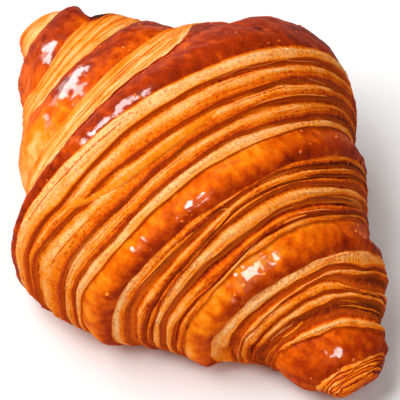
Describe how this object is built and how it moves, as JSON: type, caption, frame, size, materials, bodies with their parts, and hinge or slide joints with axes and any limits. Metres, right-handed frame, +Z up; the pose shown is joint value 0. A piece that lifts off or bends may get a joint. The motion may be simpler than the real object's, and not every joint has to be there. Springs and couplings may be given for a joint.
{
  "type": "croissant",
  "caption": "Baked croissant, a straight rolled pastry with raised layered wraps that narrow to two blunt tips and a flat underside to rest on.",
  "frame": {"origin": "middle of the underside, at the centre of the bounding box's base", "axes": "+X along the roll, towards the tip whose wraps show their broad cut edges; +Z up from the underside"},
  "size_m": [0.148, 0.101, 0.0618],
  "materials": {
    "crust": "glossy egg-washed skin, deep red-brown to golden, with matt cream layers at the cut edges"
  },
  "bodies": {
    "root": {"croissant": "crust"}
  },
  "joints": []
}
